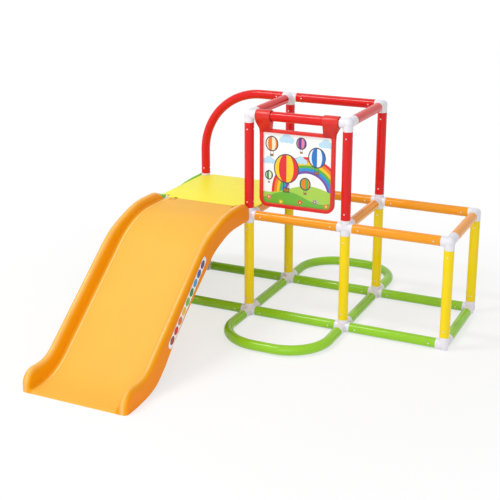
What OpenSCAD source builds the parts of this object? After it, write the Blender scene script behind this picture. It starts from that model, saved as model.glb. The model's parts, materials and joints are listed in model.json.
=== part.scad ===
// Toddler climbing gym: a tube frame of equal cubic bays on moulded connectors, with a slide,
// a deck, a step board and a panel that swings from the front top rail.
// The origin is on the floor, at the middle of the whole gym. X runs along the row of bays,
// the slide comes down towards -Y, and Z is up.

/* [Tubes] */
// Distance between the axes of neighbouring posts and rails
pitch = 338; // [320:1:360]
// Outside diameter of every tube
tube_d = 32; // [28:0.5:34]
// Wall of the tubes
tube_wall = 2; // [1.5:0.1:3]
// Straight leg of each base loop, from the post axis to its bend
loop_leg = 125; // [110:1:160]
// Bend radius of the base loops, on the tube's axis
loop_bend = 137; // [100:1:150]
// Bend radius of the handrail, on the tube's axis
handrail_bend = 225; // [180:1:250]

/* [Connectors] */
// Radius of the connector hubs
hub_r = 17; // [16.8:0.1:19]
// Radius of the connector collars, a little proud of the tubes
collar_r = 16.4; // [16.2:0.1:16.7]
// Length of the short arms, from the hub's middle to the tube's end
arm_short = 26; // [24:1:30]
// Length of the arms that run from front to back
arm_long = 52; // [44:1:60]
// Length of the spigot inside the tube
spigot_len = 36; // [32:1:44]
// Bore of the hollow spigots
spigot_bore = 21; // [16:0.5:23]
// Height of the base tubes' axes above the floor
base_axis = 18; // [17.5:0.1:22]
// Diameter of the flat foot under each base connector
foot_d = 24; // [18:1:28]
// Diameter of the lock studs
stud_d = 4.4; // [3:0.1:6]
// Distance of the studs from the tube's end
stud_from_end = 21; // [14:1:26]
// How far the studs stand out of the tube
stud_proud = 0.9; // [0.5:0.1:1.5]

/* [Slide] */
// How far the slide's side walls reach past the posts' axes
slide_over = 8; // [1:1:14]
// Slope of the straight run
slide_angle = 38.5; // [34:0.5:42]
// Length of the level bed at the top
slide_flat = 95; // [80:1:120]
// Radius of the crest, on the bed
crest_r = 321; // [280:1:360]
// Radius of the run-out, on the bed
dip_r = 220; // [200:1:260]
// Length of the level bed at the foot
slide_lip = 37; // [30:1:60]
// Height of the bed at the foot
foot_bed = 8; // [7:0.5:12]
// Wall of the moulding
slide_wall = 4; // [3:0.5:5]
// Thickness of the side walls at their round tops
rail_w = 26; // [22:1:32]
// Height of the side walls above the bed, at the crest
rail_up = 29; // [24:1:36]
// Height of the side walls above the bed, at the foot
rail_up_foot = 52; // [44:1:64]
// Radius of the slide's front corners, seen from above
foot_corner = 12; // [6:1:16]
// Depth of the outer skirts below the bed, at the crest
skirt = 31; // [24:1:36]
// Width of the two hook tongues over the front rail
tongue_w = 11; // [8:1:16]
// Distance of the tongues from the posts' axes
tongue_in = 52; // [46:1:70]

/* [Deck] */
// Height of the deck's top above the rail axes
deck_rise = 20; // [19.5:0.1:24]
// Thickness of the deck's plate
deck_t = 3.2; // [2.5:0.1:3.4]
// How far the plate reaches past the slide's side walls
deck_past = 2; // [0:0.5:4]
// Thickness of the rim and the ribs under the plate
deck_rib = 3; // [2:0.5:4]
// Depth of the rim below the plate
deck_rim = 30; // [16:1:40]

/* [Steps] */
// Width of the step board over its side walls
steps_w = 350; // [342:1:356]
// Thickness of its side walls
steps_side = 14; // [10:1:20]
// Radius of the curved front of the side walls
steps_r = 504; // [480:1:540]
// Slope of that curve at its top end
steps_tilt = 27; // [24:0.5:30]
// Number of treads below the deck
treads = 2; // [2:1:3]
// Wall of the treads and risers
tread_t = 5; // [4:0.5:7]
// Distance of the tread edges behind the curved front
tread_inset = 14; // [10:1:24]
// Radius of the tread edges
nosing_r = 9; // [6:0.5:12]
// Width of the clips on the left rail
steps_clip_w = 44; // [30:1:60]

/* [Panel] */
// Width of the swinging panel
panel_w = 260; // [240:1:270]
// Top edge of the panel below the rail axis
panel_top = 41; // [38:1:56]
// Bottom edge of the panel below the rail axis
panel_bottom = 300; // [280:1:306]
// Thickness of the panel's frame
panel_t = 12; // [9:0.5:16]
// Width of the frame's sides and bottom
panel_border = 13; // [10:0.5:18]
// Width of the frame's top bar
panel_bar = 11; // [8:0.5:16]
// Radius of the panel's lower corners
panel_corner = 30; // [22:1:38]
// Width of each sleeve on the rail
sleeve_w = 52; // [40:1:60]
// Wall of the sleeves
sleeve_t = 3.6; // [3:0.1:5]
// Thickness of the white sheet in the frame
sheet_t = 2.5; // [2:0.1:4]
// Depth of the groove that holds the sheet
groove = 5; // [3:0.5:7]

/* [Fits] */
// Clearance of a clip, hook or sleeve round a tube
clip_gap = 0.3; // [0.2:0.05:0.6]
// Clearance of a spigot inside its tube
spigot_gap = 0.25; // [0.15:0.05:0.4]
// Clearance round a lock stud in its hole
stud_gap = 0.3; // [0.2:0.05:0.5]
// Gap between a moulding and the connectors beside it
side_gap = 2.5; // [1.5:0.1:4]
// Gap between what sits on a tube and the collars beside it
collar_gap = 1.5; // [1:0.1:3]

/* [Hidden] */
$fn = 64;
tube_r = tube_d / 2;
bore_r = tube_r - tube_wall;
spigot_r = bore_r - spigot_gap;
clip_in = tube_r + clip_gap;
columns = ["outer_left", "inner_left", "inner_right", "outer_right"];
bays = ["left", "middle", "right"];
rows = ["front", "back"];
levels = ["base", "mid", "top"];
level_colours = ["YellowGreen", "Orange", "Red"];

// Levels of the rail axes
function level_z(k) = base_axis + k * pitch;
mid_z = level_z(1);
top_z = level_z(2);
deck_top = mid_z + deck_rise;

// The slide and the deck are as wide as the bay that carries them
slide_w = pitch + 2 * slide_over;
deck_over = slide_over + deck_past;

// Side view of the slide: distances run forwards from the front row, heights from the floor
slide_start = hub_r + side_gap;
crest_from = slide_start + slide_flat;
crest_to = crest_from + crest_r * sin(slide_angle);
crest_to_z = deck_top - crest_r * (1 - cos(slide_angle));
dip_from_z = foot_bed + dip_r * (1 - cos(slide_angle));
dip_from = crest_to + (crest_to_z - dip_from_z) / tan(slide_angle);
dip_to = dip_from + dip_r * sin(slide_angle);
slide_reach = dip_to + slide_lip;

// Side view of the step board: distances run outwards from the outer left posts
steps_start = hub_r + side_gap;
steps_top_z = mid_z + deck_rise + 2;
arc_x = steps_start - steps_r * sin(steps_tilt);
arc_z = steps_top_z - steps_r * cos(steps_tilt);
function front_at(z) = arc_x + sqrt(steps_r * steps_r - (z - arc_z) * (z - arc_z));
steps_reach = front_at(0);

// Places of the posts, with the whole gym centred on the origin
loop_reach = loop_leg + loop_bend;
whole_w = steps_reach + 3 * pitch + hub_r;
whole_d = slide_reach + pitch + loop_reach + tube_r;
function column_x(i) = -whole_w / 2 + steps_reach + i * pitch;
function row_y(j) = -whole_d / 2 + slide_reach + j * pitch;
bay_x = column_x(0) + pitch / 2;
bay_y = row_y(0) + pitch / 2;
tower_x = column_x(1) + pitch / 2;

// Which tubes the frame has: the top level and the upper posts stand over the middle bay only
function in_tower(i) = i == 1 || i == 2;
function has_rail(i, k) = k < 2 ? i >= 0 && i <= 2 : i == 1;
function has_tie(i, k) = k < 2 || in_tower(i);
function has_post(i, k) = k == 0 || (k == 1 && in_tower(i));

NODES = concat(
    [for (k = [0, 1], j = [0, 1], i = [0:2]) str(levels[k], "_rail_", rows[j], "_", bays[i])],
    [for (k = [0, 1], i = [0:3]) str(levels[k], "_tie_", columns[i])],
    [for (j = [0, 1], i = [0:3]) str("lower_post_", rows[j], "_", columns[i])],
    [for (j = [0, 1], i = [1, 2]) str("upper_post_", rows[j], "_", columns[i])],
    [for (j = [0, 1]) str("top_rail_", rows[j])],
    [for (i = [1, 2]) str("top_tie_", columns[i])],
    [for (j = [0, 1]) str("base_loop_", rows[j])],
    ["handrail"],
    [for (k = [0, 1], i = [0:3]) str(levels[k], "_joints_", columns[i])],
    [for (i = [1, 2]) str("top_joints_", columns[i])],
    ["deck", "slide", "steps", "panel_frame", "panel_sheet"]
);
node = "all";
function wanted(name) = node == "all" || node == name;

// A straight tube from the origin along +Z, with two stud holes at each end
module tube(length) {
    difference() {
        cylinder(r = tube_r, h = length);
        translate([0, 0, -1]) cylinder(r = bore_r, h = length + 2);
        for (z = [stud_from_end, length - stud_from_end]) stud_pair(z, stud_d + 2 * stud_gap, tube_r + 2);
    }
}

// Two round pegs, 90 degrees apart, that stand out from the Z axis
module stud_pair(z, d, reach) {
    for (turn = [0, -90])
        translate([0, 0, z]) rotate([0, 0, turn]) rotate([0, 90, 0])
            translate([0, 0, bore_r - 3]) cylinder(d = d, h = reach - bore_r + 3);
}

module along_x() { rotate([0, 90, 0]) children(); }
module along_y() { rotate([-90, 0, 0]) rotate([0, 0, 180]) children(); }

module rail(i, j, k) {
    color(level_colours[k])
        translate([column_x(i) + arm_short, row_y(j), level_z(k)]) along_x() tube(pitch - 2 * arm_short);
}

module tie(i, k) {
    color(level_colours[k])
        translate([column_x(i), row_y(0) + arm_long, level_z(k)]) along_y() tube(pitch - 2 * arm_long);
}

module post(i, j, k) {
    color(k == 0 ? "Gold" : "Red")
        translate([column_x(i), row_y(j), level_z(k) + arm_short]) tube(pitch - 2 * arm_short);
}

// One leg, bend and half of the straight run of a base loop, as a bar of radius r
module half_loop(r, extra) {
    translate([-pitch / 2, 0, 0]) rotate([-90, 0, 0])
        translate([0, 0, arm_long - extra]) cylinder(r = r, h = loop_leg - arm_long + extra);
    translate([loop_bend - pitch / 2, loop_leg, 0]) rotate([0, 0, 90])
        rotate_extrude(angle = 90) translate([loop_bend, 0]) circle(r = r);
    translate([loop_bend - pitch / 2, loop_reach, 0]) rotate([0, 90, 0])
        cylinder(r = r, h = pitch - 2 * loop_bend);
}

// A floor loop on the middle bay: it steadies the tower in front and behind
module base_loop(j) {
    color(level_colours[0])
        translate([tower_x, row_y(j), base_axis]) mirror([0, j == 0 ? 1 : 0, 0]) difference() {
            for (side = [0, 1]) mirror([side, 0, 0]) half_loop(tube_r, 0);
            for (side = [0, 1]) mirror([side, 0, 0]) half_loop(bore_r, 1);
            for (side = [-1, 1]) translate([side * pitch / 2, arm_long, 0])
                along_y() stud_pair(stud_from_end, stud_d + 2 * stud_gap, tube_r + 2);
        }
}

// The handrail's upright, bend and level run, as a bar of radius r
module handrail_bar(r, extra) {
    translate([0, 0, arm_short - extra])
        cylinder(r = r, h = pitch - handrail_bend - arm_short + extra);
    translate([handrail_bend, 0, pitch - handrail_bend]) rotate([90, 0, 180])
        rotate_extrude(angle = 90) translate([handrail_bend, 0]) circle(r = r);
    translate([handrail_bend, 0, pitch]) along_x()
        cylinder(r = r, h = pitch - handrail_bend - arm_short + extra);
}

module handrail() {
    color("Red") translate([column_x(0), row_y(1), mid_z]) difference() {
        handrail_bar(tube_r, 0);
        handrail_bar(bore_r, 1);
        stud_pair(arm_short + stud_from_end, stud_d + 2 * stud_gap, tube_r + 2);
        translate([pitch - arm_short - stud_from_end, 0, pitch]) along_x()
            stud_pair(0, stud_d + 2 * stud_gap, tube_r + 2);
    }
}

// One arm of a connector along +Z: collar, hollow spigot and two lock studs
module arm(length) {
    end = length + spigot_len;
    root = hub_r / 3;
    lead = 1.5;
    rotate_extrude() polygon([
        [0, root], [collar_r, root], [collar_r, length - 0.8], [collar_r - 0.8, length],
        [spigot_r, length], [spigot_r, end - lead], [spigot_r - lead, end],
        [spigot_bore / 2, end], [spigot_bore / 2, length - 4], [0, length - 4]]);
    stud_pair(length + stud_from_end, stud_d, tube_r + stud_proud);
}

// A connector: a hub with an arm for each tube that meets there
module connector(i, j, k) {
    loop_arm = k == 0 && in_tower(i);
    inward = j == 0 ? 1 : -1;
    color("White") translate([column_x(i), row_y(j), level_z(k)]) {
        sphere(r = hub_r);
        if (has_rail(i, k)) along_x() arm(arm_short);
        if (has_rail(i - 1, k) || (i == 1 && j == 1 && k == 2)) mirror([1, 0, 0]) along_x() arm(arm_short);
        if (has_tie(i, k) && inward > 0 || loop_arm && inward < 0) along_y() arm(arm_long);
        if (has_tie(i, k) && inward < 0 || loop_arm && inward > 0) mirror([0, 1, 0]) along_y() arm(arm_long);
        if (has_post(i, k) || (i == 0 && j == 1 && k == 1)) arm(arm_short);
        if (k > 0) mirror([0, 0, 1]) arm(arm_short);
        if (k == 0) translate([0, 0, -base_axis]) cylinder(d = foot_d, h = base_axis);
    }
}

// Rises from 0 at an edge to 1 at distance r from it, as a quarter circle
function edge_round(distance, r) = distance >= r ? 1 : sqrt(max(0, 1 - pow(1 - distance / r, 2)));

// Height of the slide's side walls above the bed, at a distance along the slide
top_round = 48;
foot_round = 72;
rail_least = 6;
function rail_run(d) = lookup(d, [
    [crest_from, rail_up], [crest_to, rail_up + 1], [dip_from - 80, rail_up - 1],
    [dip_from - 30, rail_up + 1.5], [dip_to, rail_up_foot]]);
function rail_height(d) = rail_least + (rail_run(d) - rail_least)
    * edge_round(d - slide_start, top_round) * edge_round(slide_reach - d, foot_round);

// Depth of its outer skirts below the bed, which stay clear of the floor until the level foot
foot_run = 25;
draft = 0.5;
function skirt_depth(d) = lookup(d, [
    [crest_from, skirt], [(crest_from + crest_to) / 2, skirt - 2], [crest_to, skirt - 9],
    [dip_from, skirt / 2], [dip_to - foot_run, foot_bed + draft], [dip_to, foot_bed]]);

// Right half of the slide's section: bed bead, wall, skirt, then the hollow underside
bead_at = slide_w / 2 - 59;
bead_h = 1.2;
bed_dish = 0.4;
rail_steps = 8;
function section_half(d, closed) =
    let (inner = slide_w / 2 - rail_w, up = rail_height(d), down = skirt_depth(d),
         half = slide_w / 2 - foot_corner * (1 - edge_round(slide_reach - d, foot_corner)),
         round_r = (half - inner) / 2, round_h = min(round_r, up), lean = min(1, up / rail_up),
         hollow = closed ? -down + 2 * draft : up - slide_wall - 2)
    concat(
        [[bead_at - 3, 0], [bead_at, bead_h], [bead_at + 3, bed_dish / 6],
         [inner - 18, bed_dish], [inner - 9, bed_dish + 1.5 * lean], [inner - 3, 7 * lean]],
        [for (s = [0:rail_steps]) let (a = 180 - 180 * s / rail_steps)
            [half - round_r + round_r * cos(a), up - round_h + round_h * sin(a)
                + (s == 0 ? max(0, 8 * lean - up + round_h) : 0)]],
        [[half, -down], [half - slide_wall, -down + draft], [half - slide_wall, hollow + draft],
         [inner + slide_wall, hollow], [inner - slide_wall, -slide_wall]]);
bed_points = 6;
top_points = bed_points + rail_steps + 2;

// The closed outline across the slide, from the left skirt over the bed and back underneath
function section(d, closed) =
    let (half = section_half(d, closed))
    concat(
        [for (n = [top_points - 1:-1:0]) [-half[n].x, half[n].y]],
        [for (n = [0:len(half) - 1]) half[n]],
        [for (n = [len(half) - 1:-1:top_points]) [-half[n].x, half[n].y]]);

// Stations along the slide: distance, height of the bed, slope and whether the wall is closed there
crest_steps = 9;
dip_steps = 9;
stations = concat(
    [for (run = [0, 5, 12, 24, top_round]) [slide_start + run, deck_top, 0, run == 0]],
    [for (s = [0:crest_steps]) let (a = slide_angle * s / crest_steps)
        [crest_from + crest_r * sin(a), deck_top - crest_r * (1 - cos(a)), a, false]],
    [for (s = [0:dip_steps - 1]) let (a = slide_angle * (1 - s / dip_steps))
        [dip_to - dip_r * sin(a), foot_bed + dip_r * (1 - cos(a)), a, false]],
    [for (share = [1, 0.8, 0.55, 0.32, 0.16, 0.07, 0])
        [slide_reach - share * slide_lip, foot_bed, 0, share == 0]]);

// A point of the section at a station, with the section square to the bed
function slide_point(station, p) = [
    bay_x + p.x,
    row_y(0) - station[0] - p.y * sin(station[2]),
    station[1] + p.y * cos(station[2])];

// Triangles that close an end of the shell: fans in each side wall and beside the bed, the two beads,
// and the bed between them
function fan(root, ring) = [for (n = [1:len(ring) - 1]) [root, ring[n - 1], ring[n]]];
function end_faces(size) =
    let (left = top_points - 1, right = top_points,
         wall_left = left - bed_points, wall_right = right + bed_points)
    concat(
        fan(size - 2, concat([size - 1], [for (n = [0:wall_left]) n], [size - 4, size - 3])),
        fan(size - 4, [for (n = [wall_left:left]) if (n != left - 1) n]),
        fan(size - 5, [for (n = [right:wall_right]) if (n != right + 1) n]),
        fan(size - 7, concat([size - 6, size - 5], [for (n = [wall_right:size - 8]) n])),
        [[left - 2, left - 1, left], [right, right + 1, right + 2],
         [left, right, size - 5], [left, size - 5, size - 4]]);

module slide_shell() {
    outlines = [for (s = stations) section(s[0], s[3])];
    size = len(outlines[0]);
    last = len(stations) - 1;
    points = [for (s = [0:last], p = outlines[s]) slide_point(stations[s], p)];
    walls = [for (s = [0:last - 1], n = [0:size - 1])
        let (m = (n + 1) % size, from = s * size, to = from + size)
        each [[from + n, from + m, to + m], [from + n, to + m, to + n]]];
    top_end = [for (face = end_faces(size)) [face[2], face[1], face[0]]];
    foot_end = [for (face = end_faces(size)) [for (n = face) last * size + n]];
    polyhedron(points, concat(walls, top_end, foot_end), convexity = 6);
}

// Extrudes a side view (y forwards from the front row axis, z up) over a width along X
module across_bay(x, width) {
    translate([x - width / 2, row_y(0), 0]) rotate([90, 0, 90]) linear_extrude(width) children();
}

// The slide's top lip lies on the front rail; two tongues reach round the back of it
lip_back = 9;
lip_lap = 8;
slit = 3;
tongue_t = 3.4;
module slide_lip_plate() {
    lip_w = pitch - 2 * (arm_short + collar_gap);
    difference() {
        across_bay(bay_x, lip_w) translate([-slide_start - lip_lap, mid_z + clip_in])
            square([slide_start + lip_lap + lip_back, deck_rise - clip_in - 0.2]);
        for (side = [-1, 1], edge = [-1, 1])
            across_bay(bay_x + side * (pitch / 2 - tongue_in) + edge * (tongue_w + slit) / 2, slit)
                translate([-tube_r, mid_z]) square([2 * tube_r, 2 * deck_rise]);
    }
    for (side = [-1, 1]) across_bay(bay_x + side * (pitch / 2 - tongue_in), tongue_w)
        translate([0, mid_z]) intersection() {
            difference() {
                circle(r = clip_in + tongue_t);
                circle(r = clip_in);
            }
            translate([-2, -8]) square([2 * tube_r, 2 * tube_r]);
        }
}

module slide() {
    color("Orange") {
        slide_shell();
        slide_lip_plate();
        translate([bay_x - slide_w / 2 + rail_w, row_y(0) - slide_reach + 1, 0])
            cube([slide_w - 2 * rail_w, 8, foot_bed - draft]);
    }
}

// Outline of the deck's plate: clear of the posts, the corner hubs and the slide's tongues
hub_notch = hub_r + side_gap;
module deck_outline() {
    corner = 8;
    difference() {
        translate([column_x(0) - deck_over, row_y(0) + lip_back + 1])
            square([pitch + 2 * deck_over, pitch - lip_back - 1 + deck_over]);
        translate([column_x(0) - 2 * deck_over, row_y(0)]) square([2 * deck_over + hub_notch, 2 * hub_notch]);
        translate([column_x(1) - hub_notch, row_y(0)])
            square([2 * (hub_notch + deck_over), hub_notch + corner]);
        for (i = [0, 1]) translate([column_x(i), row_y(1)]) {
            circle(r = hub_notch + 1);
            translate([i == 0 ? -hub_notch - deck_over : 0, 0]) square([hub_notch + deck_over, hub_notch]);
        }
        for (side = [-1, 1]) translate([bay_x + side * (pitch / 2 - tongue_in) - tongue_w / 2 - 2, row_y(0)])
            square([tongue_w + 4, clip_in + tongue_t + 2]);
    }
}

// A snap hook under the deck, round the near side of a rail along +X at the origin
module deck_hook(width) {
    translate([-width / 2, 0, 0]) rotate([90, 0, 90]) linear_extrude(width) intersection() {
        difference() {
            circle(r = clip_in + deck_rib);
            circle(r = clip_in);
        }
        translate([-2 * tube_r, -12]) square([2 * tube_r + 4, deck_rise + 11]);
    }
}

module deck() {
    plate_z = deck_top - deck_t;
    inner = pitch - 2 * (clip_in + tongue_t + 3);
    hook_w = 40;
    color("Yellow") {
        translate([0, 0, plate_z]) linear_extrude(deck_t) deck_outline();
        translate([bay_x, bay_y, plate_z - deck_rim]) linear_extrude(deck_rim + 0.5) {
            difference() {
                square(inner, center = true);
                square(inner - 2 * deck_rib, center = true);
            }
            for (turn = [0, 90], at = [-1, 0, 1]) rotate([0, 0, turn])
                translate([at * inner / 4, 0]) square([deck_rib, inner - deck_rib], center = true);
        }
        for (at = [-1, 1]) {
            translate([bay_x + at * pitch / 4, row_y(1), mid_z]) deck_hook(hook_w);
            translate([column_x(1), bay_y + at * pitch / 6, mid_z]) rotate([0, 0, -90]) deck_hook(hook_w);
        }
    }
}

// Extrudes a side view (x outwards from the outer left posts, y up) over a width along Y
module beside_deck(y, width) {
    translate([column_x(0), y, 0]) mirror([1, 0, 0]) rotate([90, 0, 0]) translate([0, 0, -width])
        linear_extrude(width) children();
}

// Side wall of the step board, under its curved front
module steps_wall_outline() {
    intersection() {
        translate([arc_x, arc_z]) circle(r = steps_r, $fn = 180);
        translate([steps_start, 0]) square([steps_reach, steps_top_z]);
    }
}

// Heights of the treads from the floor up, the last one just under the deck
lip_z = mid_z + 8;
function tread_z(n) = n > treads ? lip_z : deck_top * n / (treads + 1);
function nosing_x(n) = front_at(tread_z(n)) - tread_inset;

// Treads and risers as one folded wall with round edges
module steps_fold_outline() {
    outer = concat([[nosing_x(1), 0]],
        [for (n = [1:treads]) each [[nosing_x(n), tread_z(n)], [nosing_x(n + 1), tread_z(n)]]],
        [[nosing_x(treads + 1), lip_z], [clip_in + 1, lip_z]]);
    inner = [for (n = [len(outer) - 1:-1:0])
        [n == len(outer) - 1 ? outer[n].x : outer[n].x - tread_t, n == 0 ? 0 : outer[n].y - tread_t]];
    difference() {
        polygon(concat(outer, inner));
        for (n = [1:treads]) translate([nosing_x(n) - tread_t / 2, tread_z(n) - tread_t / 2])
            square([tread_t, tread_t]);
    }
    for (n = [1:treads]) {
        translate([nosing_x(n) - nosing_r, tread_z(n) - nosing_r]) circle(r = nosing_r);
        for (grip = [1:3])
            translate([nosing_x(n) - nosing_r - 14 * grip, tread_z(n)]) circle(d = 3, $fn = 24);
    }
}

// A clip that holds the left rail from outside and below
module steps_clip_outline() {
    translate([0, mid_z]) intersection() {
        difference() {
            circle(r = clip_in + sleeve_t);
            circle(r = clip_in);
        }
        translate([-0.6 * tube_r, -2 * tube_r]) square([3 * tube_r, 2.75 * tube_r]);
    }
}

// Rounded ear of the front side wall, over the corner connector
module steps_ear_outline() {
    ear = [hub_r, 10];
    translate([-ear.x + ear.y / 2, mid_z + hub_r + 1]) {
        square([ear.x + steps_start + 6, ear.y]);
        translate([0, ear.y / 2]) circle(d = ear.y);
    }
}

module steps() {
    wall_front = bay_y - steps_w / 2;
    color("YellowGreen") {
        for (y = [wall_front, bay_y + steps_w / 2 - steps_side])
            beside_deck(y, steps_side) steps_wall_outline();
        beside_deck(wall_front, steps_side) steps_ear_outline();
        beside_deck(wall_front + 1, steps_w - 2) steps_fold_outline();
        for (at = [-1, 1]) beside_deck(bay_y + at * pitch / 6 - steps_clip_w / 2, steps_clip_w)
            steps_clip_outline();
    }
}

// A rectangle with round corners, x centred, from z0 up to z1
module round_plate(width, z0, z1, r) {
    translate([-width / 2, z0 + r]) square([width, z1 - z0 - 2 * r]);
    translate([r - width / 2, z0]) square([width - 2 * r, z1 - z0]);
    for (x = [-1, 1], z = [z0 + r, z1 - r]) translate([x * (width / 2 - r), z]) circle(r = r);
}

// Extrudes a front view (x, z) over a depth centred on the rail's axis
module facing(depth) {
    rotate([90, 0, 0]) translate([0, 0, -depth / 2]) linear_extrude(depth) children();
}

// The window for the sheet: round corners below, nearly square ones above
window_corner = 14;
window_top_corner = 5;
module panel_window(grow) {
    width = panel_w - 2 * panel_border + 2 * grow;
    bottom = -panel_bottom + panel_border - grow;
    top = -panel_top - panel_bar + grow;
    round_plate(width, bottom, top, window_corner);
    round_plate(width, top - 3 * window_corner, top, window_top_corner);
}

// A sleeve on the rail and the strap that widens from the panel up to it
sleeve_out = pitch / 2 - arm_short - collar_gap;
module panel_hanger() {
    strap_foot = panel_top + panel_bar;
    sleeve_r = clip_in + sleeve_t;
    translate([sleeve_out - sleeve_w, 0, 0]) along_x() cylinder(r = sleeve_r, h = sleeve_w);
    intersection() {
        facing(3 * sleeve_r) polygon([
            [sleeve_out - sleeve_w, 0], [sleeve_out, 0], [sleeve_out, -tube_r],
            [panel_w / 2, -panel_top], [panel_w / 2, -strap_foot - window_corner],
            [sleeve_out - sleeve_w, -strap_foot]]);
        rotate([90, 0, 90]) linear_extrude(pitch) polygon([
            [-sleeve_r, 0], [sleeve_r, 0], [panel_t / 2, -strap_foot],
            [panel_t / 2, -panel_bottom], [-panel_t / 2, -panel_bottom], [-panel_t / 2, -strap_foot]]);
    }
}

// The sleeves have a groove inside, in which the rail's studs run as the panel swings
module panel_frame() {
    mouth = 18;
    color("Red") translate([tower_x, row_y(0), top_z]) difference() {
        union() {
            facing(panel_t) round_plate(panel_w, -panel_bottom, -panel_top, panel_corner);
            for (side = [0, 1]) mirror([side, 0, 0]) panel_hanger();
        }
        facing(2 * panel_t) panel_window(0);
        facing(sheet_t + 2 * clip_gap) panel_window(groove + clip_gap);
        translate([-pitch / 2, 0, 0]) along_x() cylinder(r = clip_in, h = pitch);
        for (side = [-1, 1]) translate([side * (pitch / 2 - arm_short - stud_from_end), 0, 0]) along_x()
            cylinder(r = clip_in + stud_proud, h = stud_d + 2 * stud_gap, center = true);
        translate([-pitch / 2, 0, -mouth / 2]) cube([pitch, 3 * tube_r, mouth]);
    }
}

module panel_sheet() {
    color("White") translate([tower_x, row_y(0), top_z]) facing(sheet_t) panel_window(groove);
}

for (k = [0, 1], j = [0, 1], i = [0:2])
    if (wanted(str(levels[k], "_rail_", rows[j], "_", bays[i]))) rail(i, j, k);
for (k = [0, 1], i = [0:3]) if (wanted(str(levels[k], "_tie_", columns[i]))) tie(i, k);
for (j = [0, 1], i = [0:3]) if (wanted(str("lower_post_", rows[j], "_", columns[i]))) post(i, j, 0);
for (j = [0, 1], i = [1, 2]) if (wanted(str("upper_post_", rows[j], "_", columns[i]))) post(i, j, 1);
for (j = [0, 1]) if (wanted(str("top_rail_", rows[j]))) rail(1, j, 2);
for (i = [1, 2]) if (wanted(str("top_tie_", columns[i]))) tie(i, 2);
for (j = [0, 1]) if (wanted(str("base_loop_", rows[j]))) base_loop(j);
if (wanted("handrail")) handrail();
for (k = [0, 1], i = [0:3]) if (wanted(str(levels[k], "_joints_", columns[i])))
    for (j = [0, 1]) connector(i, j, k);
for (i = [1, 2]) if (wanted(str("top_joints_", columns[i]))) for (j = [0, 1]) connector(i, j, 2);
if (wanted("deck")) deck();
if (wanted("slide")) slide();
if (wanted("steps")) steps();
if (wanted("panel_frame")) panel_frame();
if (wanted("panel_sheet")) panel_sheet();
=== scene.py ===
import bmesh
import bpy
import json
import math
from mathutils import Matrix, Vector


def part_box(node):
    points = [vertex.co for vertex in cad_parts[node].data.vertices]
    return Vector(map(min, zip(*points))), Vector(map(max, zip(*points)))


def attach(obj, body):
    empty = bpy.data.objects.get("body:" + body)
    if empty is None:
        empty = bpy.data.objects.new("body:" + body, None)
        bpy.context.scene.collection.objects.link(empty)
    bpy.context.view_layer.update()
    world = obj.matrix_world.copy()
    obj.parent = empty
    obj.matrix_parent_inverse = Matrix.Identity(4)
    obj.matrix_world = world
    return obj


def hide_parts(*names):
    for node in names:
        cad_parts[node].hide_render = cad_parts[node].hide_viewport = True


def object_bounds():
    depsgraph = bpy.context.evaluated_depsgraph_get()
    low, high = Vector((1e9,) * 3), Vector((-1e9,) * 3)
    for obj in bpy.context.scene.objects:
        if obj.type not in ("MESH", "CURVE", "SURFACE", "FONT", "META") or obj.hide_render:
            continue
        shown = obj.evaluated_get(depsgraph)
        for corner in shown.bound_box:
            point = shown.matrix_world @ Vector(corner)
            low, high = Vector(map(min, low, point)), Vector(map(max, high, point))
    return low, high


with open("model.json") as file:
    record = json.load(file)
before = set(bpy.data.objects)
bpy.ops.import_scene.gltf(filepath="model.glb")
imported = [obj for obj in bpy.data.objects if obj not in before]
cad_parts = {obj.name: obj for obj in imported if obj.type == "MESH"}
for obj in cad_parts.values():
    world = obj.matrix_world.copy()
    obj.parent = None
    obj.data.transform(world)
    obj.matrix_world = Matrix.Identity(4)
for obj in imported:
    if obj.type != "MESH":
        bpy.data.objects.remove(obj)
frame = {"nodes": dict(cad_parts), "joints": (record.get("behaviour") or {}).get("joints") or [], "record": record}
cad_low, cad_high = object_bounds()
slots = {part["node"]: part["material_slot"] for part in frame["record"]["subparts"]}

# Tubes
# Plastic pipes of one diameter: green on the floor, yellow for the lower posts, orange at deck height and
# red on the tower. They are drawn, so faint marks run along them, and handling has dulled their gloss.


class Value:
    """A shader socket whose arithmetic adds Math nodes to its node tree."""

    def __init__(self, finish, socket):
        self.finish = finish
        self.socket = socket

    def maths(self, operation, *values, clamp=False):
        settings = {"operation": operation, "use_clamp": clamp}
        made = self.finish.node("ShaderNodeMath", settings, dict(enumerate(values)))
        return Value(self.finish, made.outputs[0])

    def __add__(self, other):
        return self.maths("ADD", self, other)

    def __sub__(self, other):
        return self.maths("SUBTRACT", self, other)

    def __rsub__(self, other):
        return self.maths("SUBTRACT", other, self)

    def __mul__(self, other):
        return self.maths("MULTIPLY", self, other)

    def __truediv__(self, other):
        return self.maths("DIVIDE", self, other)

    def __pow__(self, other):
        return self.maths("POWER", self, other)

    __radd__ = __add__
    __rmul__ = __mul__

    def size(self):
        return self.maths("ABSOLUTE", self)

    def clamped(self):
        return self.maths("ADD", self, 0.0, clamp=True)

    def sine(self):
        return self.maths("SINE", self)

    def arcsine(self):
        return self.maths("ARCSINE", self)

    def turn_from(self, other):
        return self.maths("ARCTAN2", self, other)

    def whole(self):
        return self.maths("FLOOR", self)

    def larger(self, other):
        return self.maths("MAXIMUM", self, other)

    def smaller(self, other):
        return self.maths("MINIMUM", self, other)


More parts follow.
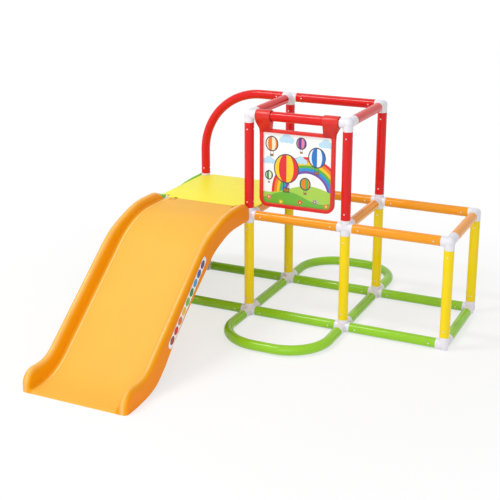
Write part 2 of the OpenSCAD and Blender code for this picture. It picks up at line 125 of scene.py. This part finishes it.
class Finish:
    """A material or world in the making: node() adds any node, set() feeds the sockets of its shader."""

    def __init__(self, name, kind=bpy.data.materials, shader="Principled BSDF"):
        self.owner = kind.new(name)
        self.owner.use_nodes = True
        self.tree = self.owner.node_tree
        self.shader = self.tree.nodes[shader]

    def feed(self, socket, value):
        if isinstance(value, Value):
            value = value.socket
        if isinstance(value, bpy.types.NodeSocket):
            self.tree.links.new(value, socket)
        elif socket.type == "RGBA":
            socket.default_value = (*value, 1.0)
        else:
            socket.default_value = value

    def node(self, kind, settings, sockets):
        made = self.tree.nodes.new(kind)
        for name, value in settings.items():
            if name == "stops":
                ramp = made.color_ramp
                while len(ramp.elements) < len(value):
                    ramp.elements.new(1.0)
                for element, (place, colour) in zip(ramp.elements, value):
                    element.position = place
                    element.color = (*colour, 1.0)
            elif name == "blend":
                made.color_ramp.interpolation = value
            else:
                setattr(made, name, value)
        for name, value in sockets.items():
            self.feed(made.inputs[name], value)
        return made

    def set(self, **sockets):
        for name, value in sockets.items():
            self.feed(self.shader.inputs[name.replace("_", " ")], value)

    def place(self):
        """The point on the object, in metres, and its three coordinates."""
        point = self.node("ShaderNodeTexCoord", {}, {}).outputs["Object"]
        parts = self.node("ShaderNodeSeparateXYZ", {}, {"Vector": point}).outputs
        return point, [Value(self, parts[n]) for n in range(3)]

    def noise(self, point, cells, detail=2.0):
        """Noise with so many cells per metre along each axis, from 0 to 1."""
        scaled = self.node("ShaderNodeMapping", {}, {"Vector": point, "Scale": cells}).outputs[0]
        made = self.node("ShaderNodeTexNoise", {}, {"Vector": scaled, "Scale": 1.0, "Detail": detail})
        return Value(self, made.outputs[0])

    def bands(self, share, colours):
        """Equal bands of plain colour over a value from 0 to 1."""
        stops = [(n / len(colours), colour) for n, colour in enumerate(colours)]
        settings = {"stops": stops, "blend": "CONSTANT"}
        return self.node("ShaderNodeValToRGB", settings, {"Fac": share}).outputs[0]

    def mix(self, share, one, other):
        """The one colour where the share is 0, the other where it is 1."""
        settings = {"data_type": "RGBA"}
        made = self.node("ShaderNodeMix", settings, {0: share, 6: one, 7: other})
        return made.outputs[2]

    def shade(self, colour, amount):
        """The colour made lighter or darker by a value about 1."""
        settings = {"operation": "SCALE"}
        made = self.node("ShaderNodeVectorMath", settings, {0: colour, "Scale": amount})
        return made.outputs[0]

    def relief(self, height, depth, round_edges=0.0):
        """Bump of a given depth in metres, over edges that look rounded by a given radius."""
        sockets = {"Height": height, "Distance": depth}
        if round_edges:
            edge = self.node("ShaderNodeBevel", {"samples": 6}, {"Radius": round_edges})
            sockets["Normal"] = edge.outputs[0]
        self.set(Normal=self.node("ShaderNodeBump", {}, sockets).outputs[0])


def rgb(red, green, blue):
    """A screen colour from 0 to 255 as the linear colour that renders to it."""
    shares = [value / 255 for value in (red, green, blue)]
    return [share / 12.92 if share <= 0.04045 else ((share + 0.055) / 1.055) ** 2.4 for share in shares]


def dress(material, names):
    """Gives the named nodes this material on every slot."""
    for name in names:
        for slot in frame["nodes"][name].material_slots:
            slot.material = material


draw_marks = 700.0
mark_length = 5.0
bent_marks = 104.0
clouding = 26.0
scuffing = 160.0
scuff_least = 0.58
tube_colours = {
    "green_tube": rgb(150, 208, 44),
    "yellow_tube": rgb(250, 220, 2),
    "orange_tube": rgb(246, 158, 28),
    "red_tube": rgb(224, 24, 24),
}


def tube_plastic(name, colour, axis):
    """Pipe plastic with its marks along an axis, or even marks on a bent tube."""
    finish = Finish(name)
    point, _ = finish.place()
    cells = [bent_marks] * 3
    if axis is not None:
        cells = [draw_marks] * 3
        cells[axis] = mark_length
    marks = finish.noise(point, cells)
    cloud = finish.noise(point, [clouding] * 3, 4.0)
    scuffs = ((finish.noise(point, [scuffing] * 3, 5.0) - scuff_least) * 6.0).clamped()
    finish.set(
        Base_Color=finish.shade(colour, 0.97 + cloud * 0.06),
        Roughness=0.13 + marks * 0.05 + scuffs * 0.10,
        Specular_IOR_Level=0.3,
    )
    finish.relief(marks * 0.5 + scuffs * 0.2, 0.00004)
    return finish.owner


def tube_axis(name):
    """The axis that a straight tube runs along, or none for a bent one."""
    if "loop" in name or name == "handrail":
        return None
    return 0 if "_rail_" in name else 1 if "_tie_" in name else 2


for slot, colour in tube_colours.items():
    for axis in (0, 1, 2, None):
        group = [name for name, used in slots.items() if used == slot and tube_axis(name) == axis]
        if group:
            dress(tube_plastic(f"{slot}_{'bent' if axis is None else 'xyz'[axis]}", colour, axis), group)

# Connectors
# White injection-moulded hubs whose spigots sit inside the tubes, held by round studs that show through
# holes near the tube ends. The white is a cool one and the moulded edges are slightly soft.


def moulded_plastic(name, colour, grain, cloud, shade, rough, gloss, depth, edge):
    """Grained plastic. Grain and cloud give cells per metre and detail; shade and rough give the least value
    and what the cloud or the grain adds to it."""
    finish = Finish(name)
    point, _ = finish.place()
    fine = finish.noise(point, [grain[0]] * 3, grain[1])
    broad = finish.noise(point, [cloud[0]] * 3, cloud[1])
    finish.set(
        Base_Color=finish.shade(colour, shade[0] + broad * shade[1]),
        Roughness=rough[0] + fine * rough[1],
        Specular_IOR_Level=gloss,
    )
    finish.relief(fine, depth, edge)
    return finish.owner


connector_plastic = moulded_plastic(
    "connector_white", rgb(236, 235, 243), grain=(900.0, 3.0), cloud=(40.0, 4.0), shade=(0.97, 0.05),
    rough=(0.26, 0.10), gloss=0.4, depth=0.00006, edge=0.0012)
dress(connector_plastic, [name for name, used in slots.items() if used == "white_connector"])

# Deck
# A yellow moulded plate that snaps on the rails of the left bay, with a rounded edge round its top. The top
# has a fine grain, so that small feet don't slip, and the light spreads softly on it.
deck_plastic = moulded_plastic(
    "deck_yellow", rgb(252, 244, 54), grain=(1100.0, 2.0), cloud=(14.0, 3.0), shade=(0.96, 0.08),
    rough=(0.38, 0.14), gloss=0.35, depth=0.00025, edge=0.0012)
plate_least = 0.05
plate_edge = 0.002


def softened(name, edge, is_face):
    """A copy of a node's mesh with the outer edges of the chosen flat faces rounded."""
    mesh = bmesh.new()
    mesh.from_mesh(frame["nodes"][name].data)
    bmesh.ops.remove_doubles(mesh, verts=mesh.verts, dist=0.00001)
    bmesh.ops.dissolve_limit(mesh, angle_limit=math.radians(1), verts=mesh.verts, edges=mesh.edges)
    chosen = {face for face in mesh.faces if is_face(face)}
    corners = [item for item in mesh.edges if chosen.intersection(item.link_faces)
               and item.is_convex and item.calc_face_angle() > math.radians(40)]
    bmesh.ops.bevel(mesh, geom=corners, offset=edge, segments=3, profile=0.5, affect="EDGES", material=-1)
    bmesh.ops.triangulate(mesh, faces=[face for face in mesh.faces if len(face.verts) > 4])
    return mesh


def finished(name, mesh, material, body, sharp=35):
    """Turns a bmesh into a piece of the object that rides on a body."""
    data = bpy.data.meshes.new(name)
    mesh.to_mesh(data)
    mesh.free()
    data.shade_smooth()
    data.set_sharp_from_angle(angle=math.radians(sharp))
    data.materials.append(material)
    piece = bpy.data.objects.new(name, data)
    bpy.context.scene.collection.objects.link(piece)
    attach(piece, body)
    return piece


def is_plate_top(face):
    return face.normal.z > 0.99 and face.calc_area() > plate_least


deck = finished("deck_plate", softened("deck", plate_edge, is_plate_top), deck_plastic, "frame")
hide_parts("deck")

# Step board
# A green moulding that hooks on the left rail: two side walls and treads with ribs. It has the same fine
# grain as the deck.
steps_plastic = moulded_plastic(
    "steps_green", rgb(136, 204, 46), grain=(1100.0, 2.0), cloud=(14.0, 3.0), shade=(0.96, 0.08),
    rough=(0.34, 0.14), gloss=0.35, depth=0.0002, edge=0.002)
dress(steps_plastic, ["steps"])

# Slide
# One orange shell moulded in a single piece: a bed with two fine beads, hollow side walls with round tops,
# skirts outside, a lip that lies on the front rail and two tongues that hook round it.
slide_low, slide_high = (Vector(corner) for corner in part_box("slide"))
swing = frame["joints"][0]
rail_y = swing["pos_m"][1]
deck_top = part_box("deck")[1][2]
bay_x = (slide_low.x + slide_high.x) / 2
slide_half = (slide_high.x - slide_low.x) / 2
slide_wall = 0.004

# Its side view: a flat start, a crest, a straight slope, a dip and a flat lip at the foot
slope = math.radians(38.5)
slide_start = 0.0195
flat_run = 0.095
crest_r = 0.321
dip_r = 0.220
lip_run = 0.037
foot_bed = 0.008

# Its walls: width at the bed, place of the ridge, and heights at the top, on the slope and at the foot
wall_w = 0.029
ridge_in = 0.012
wall_up = 0.029
wall_up_slope = 0.044
wall_up_foot = 0.056
wall_least = 0.006
wall_ease = 0.030
wall_round = 0.020
wall_round_share = 0.6
fillet_w = 0.009
fillet_h = 0.010

# Its skirts: how deep they hang at the top, over the crest, at its end, on the slope and before the foot
skirt_top = 0.033
skirt_crest = 0.032
skirt_bend = 0.024
skirt_slope = 0.0165
skirt_low = 0.0175
skirt_foot = 0.025
low_run = 0.080
foot_run = 0.030
floor_run = 0.025
floor_gap = 0.0005

# Its beads and rounded ends
bed_step = 0.03
bead_in = 0.041
bead_half = 0.0025
bead_h = 0.0018
top_round = 0.048
flat_end = 0.020
foot_round = 0.044
foot_corner = 0.012
nose_in = 0.006
nose_run = 0.016

crest_from = slide_start + flat_run
crest_to = crest_from + crest_r * math.sin(slope)
crest_to_z = deck_top - crest_r * (1 - math.cos(slope))
dip_from_z = foot_bed + dip_r * (1 - math.cos(slope))
dip_from = crest_to + (crest_to_z - dip_from_z) / math.tan(slope)
dip_to = dip_from + dip_r * math.sin(slope)
slide_reach = dip_to + lip_run
on_crest = (crest_from + crest_to) / 2
on_slope = (crest_to + dip_from) / 2


def steps_between(count):
    """Equal shares up to 1, without the 0."""
    return [n / count for n in range(1, count + 1)]


def along(table, place):
    """Reads a table of (place, value) pairs, with an eased run between neighbours."""
    if place <= table[0][0]:
        return table[0][1]
    for (start, low), (end, high) in zip(table, table[1:]):
        if place <= end:
            share = (place - start) / (end - start)
            return low + (high - low) * share * share * (3 - 2 * share)
    return table[-1][1]


def quarter(distance, radius):
    """Rises from 0 at an edge to 1 at the radius, as a quarter circle."""
    share = max(0.0, 1 - distance / radius)
    return math.sqrt(max(0.0, 1 - share * share))


def wall_height(place):
    run = along([
        (on_crest, wall_up), (crest_to + wall_ease, wall_up_slope),
        (dip_from + wall_ease, wall_up_slope), (dip_to, wall_up_foot)], place)
    ends = quarter(place - slide_start, top_round) * quarter(slide_reach - place, foot_round)
    return wall_least + (run - wall_least) * ends


def skirt_depth(place):
    return along([
        (crest_from, skirt_top), (on_crest, skirt_crest), (crest_to, skirt_bend), (on_slope, skirt_slope),
        (dip_from - low_run, skirt_low), (dip_from - foot_run, skirt_foot), (dip_from, skirt_foot),
        (dip_to - floor_run, foot_bed + floor_gap), (dip_to, foot_bed)], place)


# Stations down the slide: distance in front of the rail, height of the bed, slope of the bed
stations = [(slide_start, deck_top, 0.0)]
stations += [(slide_start + top_round * share ** 1.6, deck_top, 0.0) for share in steps_between(10)]
stations += [(crest_from - flat_end, deck_top, 0.0)]
stations += [
    (crest_from + crest_r * math.sin(tilt), deck_top - crest_r * (1 - math.cos(tilt)), tilt)
    for tilt in (slope * share for share in [0.0] + steps_between(24))]
stations += [
    (crest_to + (dip_from - crest_to) * share, crest_to_z + (dip_from_z - crest_to_z) * share, slope)
    for share in steps_between(12)]
stations += [
    (dip_to - dip_r * math.sin(tilt), foot_bed + dip_r * (1 - math.cos(tilt)), tilt)
    for tilt in (slope * (1 - share) for share in steps_between(20))]
stations += [(dip_to + lip_run * (1 - (1 - share) ** 1.6), foot_bed, 0.0) for share in steps_between(10)]

# Right half of the section: how far out, a fillet that shrinks with the wall, then the shares of the wall's
# height, of the rounding of its outer edge and of the skirt
inner = slide_half - wall_w
ridge = slide_half - ridge_in
bead_at = slide_half - bead_in
half_section = [(bed_step * n, 0.0, 0.0, 0.0, 0.0) for n in range(1, 5)]
half_section += [
    (bead_at + bead_half * math.cos(a), bead_h * math.sin(a), 0.0, 0.0, 0.0)
    for a in (math.pi * (1 - share) for share in [0.0] + steps_between(6))]
half_section += [
    (inner - fillet_w * (1 - math.sin(a)), fillet_h * (1 - math.cos(a)), 0.0, 0.0, 0.0)
    for a in (math.pi / 2 * share for share in [0.0] + steps_between(8))]
half_section += [
    (ridge - (ridge - inner) * math.cos(a), fillet_h * (1 - math.sin(a)), math.sin(a), 0.0, 0.0)
    for a in (math.pi / 2 * share for share in steps_between(14))]
half_section += [
    (ridge + ridge_in * math.sin(a), 0.0, 1.0, 1 - math.cos(a), 0.0)
    for a in (math.pi / 2 * share for share in steps_between(12))]
half_section += [(slide_half, 0.0, 1 - share, 1 - share, share) for share in steps_between(4)]
section = [(-out, *rest) for out, *rest in reversed(half_section)] + [(0.0,) * 5] + half_section

shell = bmesh.new()
layer_names = ("out", "fillet", "wall_share", "round_share", "skirt_share")
layers = [shell.verts.layers.float.new(name) for name in layer_names]


def set_down(points, station):
    """Moves section points to a station, square to the bed there."""
    place, height, tilt = station
    up, down = wall_height(place), skirt_depth(place)
    lean = min(1.0, up / wall_up)
    rounding = min(wall_round, wall_round_share * up)
    tip = 1 - quarter(slide_reach - place, nose_run)
    for vert in points:
        out, fillet, wall_share, round_share, skirt_share = (vert[layer] for layer in layers)
        in_wall = max(0.0, abs(out) - inner) / wall_w
        if abs(out) > bead_at + bead_half:
            out += math.copysign(tip, out) * (nose_in - in_wall * (nose_in + foot_corner))
        rise = fillet * lean + wall_share * up - round_share * rounding - skirt_share * down
        vert.co = (bay_x + out, rail_y - place - rise * math.sin(tilt), height + rise * math.cos(tilt))


def drawn_out(edges):
    """Extrudes an open chain of the shell's edges: its new points and the new chain."""
    grown = bmesh.ops.extrude_edge_only(shell, edges=edges)["geom"]
    points = {item for item in grown if isinstance(item, bmesh.types.BMVert)}
    chain = [item for item in grown if isinstance(item, bmesh.types.BMEdge) and points.issuperset(item.verts)]
    return points, chain


chain = [shell.verts.new() for _ in section]
for vert, values in zip(chain, section):
    for layer, value in zip(layers, values):
        vert[layer] = value
top_rim = [shell.edges.new(pair) for pair in zip(chain, chain[1:])]
set_down(chain, stations[0])
rim = top_rim
for station in stations[1:]:
    points, rim = drawn_out(rim)
    set_down(points, station)
points, _ = drawn_out(rim)
for vert in points:
    vert.co.z = 0.0
points, _ = drawn_out(top_rim)
for vert in points:
    beside_bed = abs(vert.co.x - bay_x) > inner - fillet_w
    vert.co.z = deck_top - (skirt_top if beside_bed else slide_wall)
bmesh.ops.remove_doubles(shell, verts=shell.verts, dist=0.00005)
bmesh.ops.recalc_face_normals(shell, faces=shell.faces)
on_top = Vector((bay_x, rail_y - crest_from, deck_top))
bed_face = min(shell.faces, key=lambda face: (face.calc_center_median() - on_top).length)
if bed_face.normal.z < 0:
    bmesh.ops.reverse_faces(shell, faces=shell.faces)
bmesh.ops.solidify(shell, geom=shell.faces, thickness=slide_wall)

# The lip over the rail, cut beside each tongue, and the tongues round the back of the rail
lip_half = 0.1415
lip_back = 0.009
lip_lap = 0.008
lip_t = 0.0035
lip_edge = 0.0006
lip_drop = 0.0002
tongue_at = 0.117
tongue_w = 0.011
tongue_t = 0.0034
tongue_start = 0.002
tongue_turn = math.radians(112)
slit = 0.003
tube_r = 0.016
hook_gap = 0.0003
rail_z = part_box("mid_rail_front_left")[1][2] - tube_r
lip_top = deck_top - lip_drop


def bar_plate(mesh, low, high, edge):
    """A flat bar between two corners, with its edges bevelled."""
    place = Matrix.Translation((low + high) / 2) @ Matrix.Diagonal((*(high - low), 1.0))
    made = bmesh.ops.create_cube(mesh, size=1.0, matrix=place)["verts"]
    edges = list({item for vert in made for item in vert.link_edges})
    bmesh.ops.bevel(mesh, geom=edges, offset=edge, segments=2, profile=0.5, affect="EDGES", material=-1)


cuts = [-lip_half]
for side in (-1, 1):
    cuts += [side * tongue_at - tongue_w / 2 - slit, side * tongue_at - tongue_w / 2,
             side * tongue_at + tongue_w / 2, side * tongue_at + tongue_w / 2 + slit]
cuts += [lip_half]
for left, right in zip(cuts[::2], cuts[1::2]):
    bar_plate(shell, Vector((bay_x + left, rail_y - slide_start - lip_lap, lip_top - lip_t)),
              Vector((bay_x + right, rail_y + lip_back, lip_top)), lip_edge)
for side in (-1, 1):
    corners = [shell.verts.new((bay_x + side * tongue_at + across * tongue_w / 2, rail_y - tongue_start,
                                rail_z + tube_r + hook_gap + out * tongue_t))
               for across, out in ((-1, 0), (1, 0), (1, 1), (-1, 1))]
    start = shell.faces.new(corners)
    bmesh.ops.spin(shell, geom=[start], cent=(bay_x, rail_y, rail_z), axis=(-1.0, 0.0, 0.0),
                   angle=tongue_turn, steps=14)
bmesh.ops.remove_doubles(shell, verts=shell.verts, dist=0.00001)

# Its plastic: a matt bed painted paler, partly for its matt finish and partly as painted light from above, worn
# along its length; skirts painted deeper orange as painted shade; painted highlight lines on beads and ridges
slide_orange = rgb(243, 160, 8)
# The bed's paler orange is partly its matt finish and partly painted light from the lamps above
lit_bed_orange = rgb(245, 187, 76)
# Painted shade: the outer skirts, which face away from the lamps, get a deeper, redder orange
shaded_skirt_orange = rgb(252, 146, 0)
# Painted highlight: a pale orange on the beads and wall ridges, where the lamps' highlights fall
highlight_orange = rgb(254, 232, 160)
bed_half = inner - 0.0036
bed_blend = 0.006
skirt_blend = 0.004
bead_end = rail_y - dip_to
bead_fade = 0.08
ridge_shift = 0.003
ridge_half = 0.010

finish = Finish("slide_orange")
point, (x, y, _) = finish.place()
grain = finish.noise(point, [1000.0] * 3, 2.0)
cloud = finish.noise(point, [9.0] * 3, 3.0)
runs = finish.noise(point, [420.0, 3.0, 3.0], 3.0)
from_middle = (x - bay_x).size()
on_bed = ((bed_half - from_middle) / bed_blend).clamped()
on_skirt = (1 - (slide_half - from_middle) / skirt_blend).clamped()
worn = on_bed * ((runs - 0.5) * 4.0).clamped()
before_foot = ((y - bead_end) / bead_fade).clamped()
# Painted highlight lines along the beads, fading before the foot, and along the wall ridges
bead_highlight = (1 - (from_middle - bead_at).size() / bead_half).clamped() * before_foot
ridge_highlight = (1 - (from_middle - (ridge - ridge_shift)).size() / ridge_half).clamped() * (0.2 + cloud * 0.4)
plain_orange = finish.mix(on_skirt, finish.mix(on_bed, slide_orange, lit_bed_orange), shaded_skirt_orange)
slide_colour = finish.mix(bead_highlight.larger(ridge_highlight), plain_orange, highlight_orange)
finish.set(
    Base_Color=finish.shade(slide_colour, 0.95 + cloud * 0.08 + worn * 0.05),
    Roughness=0.18 + grain * 0.06 + on_bed * 0.30 + on_skirt * 0.22 + worn * 0.06,
    Specular_IOR_Level=0.14,
)
finish.relief(grain * 0.4 + worn * 0.3, 0.00008)
slide = finished("slide_shell", shell, finish.owner, "frame")
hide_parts("slide")

# Coloured strip on the slide's side
# A thin white strip with round ends, stuck on the outer right wall along the slope, with a brown line round
# its edge. It is printed with a plain row of coloured dots.
strip_length = 0.314
strip_width = 0.029
strip_t = 0.0004
strip_place = 0.443
strip_rise = 0.005
strip_tilt = slope + math.radians(3.0)
bed_there = crest_to_z - (strip_place - crest_to) * math.tan(slope)
strip_middle = Vector((bay_x + slide_half, rail_y - strip_place - strip_rise * math.sin(slope),
                       bed_there + strip_rise * math.cos(slope)))

strip_mesh = bmesh.new()
bmesh.ops.create_grid(strip_mesh, x_segments=1, y_segments=1, size=0.5)
bmesh.ops.scale(strip_mesh, verts=strip_mesh.verts, vec=(strip_length, strip_width, 1.0))
bmesh.ops.bevel(strip_mesh, geom=strip_mesh.verts, offset=strip_width * 0.499, segments=10, profile=0.5,
                affect="VERTICES", material=-1)
grown = bmesh.ops.extrude_face_region(strip_mesh, geom=strip_mesh.faces)["geom"]
front = [item for item in grown if isinstance(item, bmesh.types.BMVert)]
bmesh.ops.translate(strip_mesh, verts=front, vec=(0.0, 0.0, strip_t))
bmesh.ops.recalc_face_normals(strip_mesh, faces=strip_mesh.faces)
on_wall = Matrix.Rotation(math.pi / 2, 4, "Z") @ Matrix.Rotation(math.pi / 2, 4, "X")
turned = Matrix.Rotation(strip_tilt, 4, "X") @ on_wall
bmesh.ops.transform(strip_mesh, matrix=Matrix.Translation(strip_middle) @ turned, verts=strip_mesh.verts)

strip_white = rgb(248, 248, 248)
strip_brown = rgb(190, 84, 40)
strip_blur = 0.0002
edge_w = 0.0011
dot_pitch = 0.0325
dot_r = 0.0108
dot_long = 1.32
dot_colours = [rgb(150, 40, 34), rgb(214, 24, 36), rgb(226, 110, 30), rgb(240, 190, 30), rgb(120, 186, 50),
               rgb(24, 140, 60), rgb(40, 160, 220), rgb(30, 84, 170), rgb(110, 50, 130)]
dots = len(dot_colours)

finish = Finish("strip_print")
_, (_, y, z) = finish.place()
lengthwise = (y - strip_middle.y) * math.cos(strip_tilt) + (z - strip_middle.z) * math.sin(strip_tilt)
across = (z - strip_middle.z) * math.cos(strip_tilt) - (y - strip_middle.y) * math.sin(strip_tilt)
counted = lengthwise / dot_pitch + dots / 2
number = counted.whole()
from_dot = (((counted - number - 0.5) * (dot_pitch / dot_long)) ** 2.0 + across ** 2.0) ** 0.5
in_row = ((dots / 2 + 0.1 - (number - (dots - 1) / 2).size()) * 10.0).clamped()
dot = ((dot_r - from_dot) / strip_blur).clamped() * in_row
past_round = (lengthwise.size() - (strip_length - strip_width) / 2).larger(0.0)
from_middle = (past_round ** 2.0 + across ** 2.0) ** 0.5
edge = ((from_middle - (strip_width / 2 - edge_w)) / strip_blur).clamped()
dot_colour = finish.bands(((number + 0.5) / dots).clamped(), dot_colours)
print_colour = finish.mix(edge, finish.mix(dot, strip_white, dot_colour), strip_brown)
finish.set(Base_Color=print_colour, Roughness=0.3 + dot * 0.06)
strip = finished("slide_strip", strip_mesh, finish.owner, "frame")

# Panel frame
# A red moulded frame with rounded edges and a groove for the sheet. It hangs on two sleeves from the
# tower's front top rail and swings there.
panel_plastic = moulded_plastic(
    "panel_red", rgb(222, 42, 34), grain=(900.0, 2.0), cloud=(24.0, 4.0), shade=(0.97, 0.06),
    rough=(0.24, 0.10), gloss=0.4, depth=0.00008, edge=0.0012)
border_least = 0.0005
border_edge = 0.0018
sleeve_reach = 0.02
sleeve_low = swing["pos_m"][2] - sleeve_reach


def is_border(face):
    """Front and back of the border, and the ends of the sleeves."""
    if abs(face.normal.y) > 0.99:
        return face.calc_area() > border_least
    return abs(face.normal.x) > 0.99 and face.calc_center_median().z > sleeve_low


border = finished("panel_border", softened("panel_frame", border_edge, is_border), panel_plastic, "panel")
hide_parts("panel_frame")

# Panel sheet
# A thin white plastic sheet that sits in the frame's groove. Both sides are printed with the same picture of
# balloons and a rainbow over hills, drawn in shares of half the sheet's width from its middle.
sheet_low, sheet_high = (Vector(corner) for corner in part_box("panel_sheet"))
sheet_middle = (sheet_low + sheet_high) / 2
sheet_half = (sheet_high.x - sheet_low.x) / 2
print_edge = 0.006

finish = Finish("sheet_print")
point, (x, _, z) = finish.place()
across = (x - sheet_middle.x) / sheet_half
up = (z - sheet_middle.z) / sheet_half


def disc(at_x, at_up, radius, tall=1.0):
    away = ((across - at_x) ** 2.0 + ((up - at_up) / tall) ** 2.0) ** 0.5
    return ((radius - away) / print_edge).clamped()


def bar(at_x, at_up, half_x, half_up):
    inside = (half_x - (across - at_x).size()).smaller(half_up - (up - at_up).size())
    return (inside / print_edge).clamped()


def hill(height, swell, waves, start):
    return ((height + (across * waves + start).sine() * swell - up) / print_edge).clamped()


def flower(at_x, at_up, radius, petals):
    wave = ((up - at_up).turn_from(across - at_x) * petals).sine()
    away = ((across - at_x) ** 2.0 + (up - at_up) ** 2.0) ** 0.5
    return ((radius * 0.75 + wave * (radius * 0.25) - away) / print_edge).clamped()


picture = rgb(250, 250, 250)
ink = rgb(60, 62, 80)

# Rainbow behind the hills
bow_x, bow_up, bow_r, band = 0.30, -0.62, 1.02, 0.075
bow_colours = [rgb(120, 80, 170), rgb(40, 150, 215), rgb(90, 180, 60), rgb(246, 205, 30), rgb(242, 130, 30),
               rgb(226, 40, 44)]
bow_w = band * len(bow_colours)
from_bow = ((across - bow_x) ** 2.0 + (up - bow_up) ** 2.0) ** 0.5
bow = finish.bands(((from_bow - (bow_r - bow_w)) / bow_w).clamped(), bow_colours)
on_bow = ((bow_w / 2 - (from_bow - (bow_r - bow_w / 2)).size()) / print_edge).clamped()
picture = finish.mix(on_bow, picture, bow)

# Clouds, each of three discs
sky_blue = rgb(190, 226, 246)
clouds = ((-0.30, 0.84, 0.13), (0.80, 0.80, 0.12), (-0.80, 0.22, 0.11), (0.10, 0.30, 0.11))
for at_x, at_up, size in clouds:
    cloud = disc(at_x, at_up, size).larger(disc(at_x - size, at_up - size * 0.35, size * 0.65))
    cloud = cloud.larger(disc(at_x + size, at_up - size * 0.35, size * 0.7))
    picture = finish.mix(cloud, picture, sky_blue)

# Hills, the far one first
picture = finish.mix(hill(-0.52, 0.14, 2.6, 0.6), picture, rgb(170, 214, 80))
picture = finish.mix(hill(-0.72, 0.12, 3.4, 2.4), picture, rgb(110, 186, 60))

# Balloons: a striped envelope, two ropes and a basket
envelope_tall = 1.12
outline = 0.028
basket_brown = rgb(176, 112, 52)
balloons = ((-0.30, 0.02, 0.36, rgb(228, 40, 44), rgb(248, 212, 40)),
            (0.56, 0.40, 0.25, rgb(30, 120, 205), rgb(240, 246, 250)),
            (0.24, -0.34, 0.16, rgb(242, 130, 30), rgb(90, 180, 60)),
            (-0.72, 0.66, 0.19, rgb(236, 120, 30), rgb(250, 236, 200)),
            (0.12, 0.74, 0.15, rgb(96, 60, 140), rgb(236, 130, 170)),
            (-0.80, -0.20, 0.12, rgb(40, 150, 90), rgb(250, 240, 210)))
for at_x, at_up, size, colour, stripe in balloons:
    for side in (-1, 1):
        rope = bar(at_x + side * size * 0.22, at_up - size * 1.2, size * 0.02 + 0.004, size * 0.35)
        picture = finish.mix(rope, picture, ink)
    picture = finish.mix(disc(at_x, at_up, size, envelope_tall), picture, ink)
    envelope = disc(at_x, at_up, size - outline, envelope_tall)
    half_width = (size ** 2 - ((up - at_up) / envelope_tall) ** 2.0).larger(0.0001) ** 0.5
    gores = ((((across - at_x) / half_width).arcsine() * 5.0).sine() * 8.0).clamped()
    picture = finish.mix(envelope, picture, finish.mix(gores, colour, stripe))
    basket_up = at_up - size * 1.62
    picture = finish.mix(bar(at_x, basket_up, size * 0.27, size * 0.19), picture, ink)
    picture = finish.mix(bar(at_x, basket_up, size * 0.22, size * 0.13), picture, basket_brown)

# Flowers on the near hill
petals = 6.0
flower_heart = rgb(252, 236, 150)
flowers = ((-0.80, -0.80, 0.085, rgb(240, 90, 130)), (-0.45, -0.90, 0.07, rgb(248, 212, 40)),
           (0.10, -0.86, 0.08, rgb(226, 40, 44)), (0.52, -0.80, 0.075, rgb(150, 90, 180)),
           (0.84, -0.88, 0.085, rgb(242, 130, 30)))
for at_x, at_up, size, colour in flowers:
    picture = finish.mix(flower(at_x, at_up, size, petals), picture, colour)
    picture = finish.mix(disc(at_x, at_up, size * 0.3), picture, flower_heart)

sheen = finish.noise(point, [300.0] * 3, 2.0)
finish.set(Base_Color=picture, Roughness=0.22 + sheen * 0.08)
dress(finish.owner, ["panel_sheet"])

# Stage
# A plain white floor that keeps a soft shadow near the object, a white surround, a long lamp overhead, a
# broad one in front, and the camera.
floor_half = 12.0
floor_white = (0.96, 0.96, 0.96)
shadow_r = 0.75
shadow_fade = 0.9
shadow_lift = 0.66
surround_light = 0.58
white = (1.0, 1.0, 1.0)


def seen_rays(finish):
    """1 where the camera, a reflection or a clear piece looks, 0 for the light that falls on the object."""
    rays = finish.node("ShaderNodeLightPath", {}, {}).outputs
    seen = Value(finish, rays["Is Camera Ray"])
    return seen.larger(rays["Is Glossy Ray"]).larger(rays["Is Transmission Ray"])


ground = bmesh.new()
bmesh.ops.create_grid(ground, x_segments=1, y_segments=1, size=floor_half)
ground_data = bpy.data.meshes.new("floor")
ground.to_mesh(ground_data)
ground.free()
floor = bpy.data.objects.new("floor", ground_data)
floor.location.z = cad_low[2]
bpy.context.scene.collection.objects.link(floor)
finish = Finish("floor_white")
_, (x, y, _) = finish.place()
away = ((x ** 2.0 + y ** 2.0) ** 0.5 - shadow_r) / shadow_fade
glow = seen_rays(finish) * (shadow_lift + away.clamped() * (1 - shadow_lift))
finish.set(
    Base_Color=finish.shade(floor_white, 1 - glow),
    Emission_Color=finish.shade(white, glow),
    Emission_Strength=1.0,
    Roughness=0.9,
    Specular_IOR_Level=0.1,
)
ground_data.materials.append(finish.owner)

surround = Finish("surround", bpy.data.worlds, "Background")
surround.set(Color=white, Strength=surround_light + seen_rays(surround) * (1 - surround_light))
bpy.context.scene.world = surround.owner


def lamp(name, place, aim, width, depth, power):
    data = bpy.data.lights.new(name, "AREA")
    data.shape = "RECTANGLE"
    data.size = width
    data.size_y = depth
    data.energy = power
    made = bpy.data.objects.new(name, data)
    made.location = place
    made.rotation_euler = (Vector(place) - Vector(aim)).to_track_quat("Z", "Y").to_euler()
    bpy.context.scene.collection.objects.link(made)


lamp("key", place=(-1.35, -1.3, 3.6), aim=(-1.35, 0.1, 0.3), width=1.5, depth=0.45, power=60.0)
lamp("fill", place=(1.2, -3.6, 1.6), aim=(0.0, 0.0, 0.3), width=2.2, depth=2.2, power=38.0)

azimuth, elevation, roll = (math.radians(angle) for angle in (25.22, 16.18, 0.04))
camera_place = Vector((1.3687, -2.8762, 1.3584))
tilted = Matrix.Rotation(math.pi / 2 - elevation, 4, "X") @ Matrix.Rotation(roll, 4, "Z")
view = bpy.data.cameras.new("camera")
view.sensor_width = 36.0
view.lens = 74.53
view.shift_y = -0.1
camera = bpy.data.objects.new("camera", view)
camera.matrix_world = Matrix.Translation(camera_place) @ Matrix.Rotation(azimuth, 4, "Z") @ tilted
bpy.context.scene.collection.objects.link(camera)
bpy.context.scene.camera = camera
bpy.context.scene.view_settings.view_transform = "Standard"
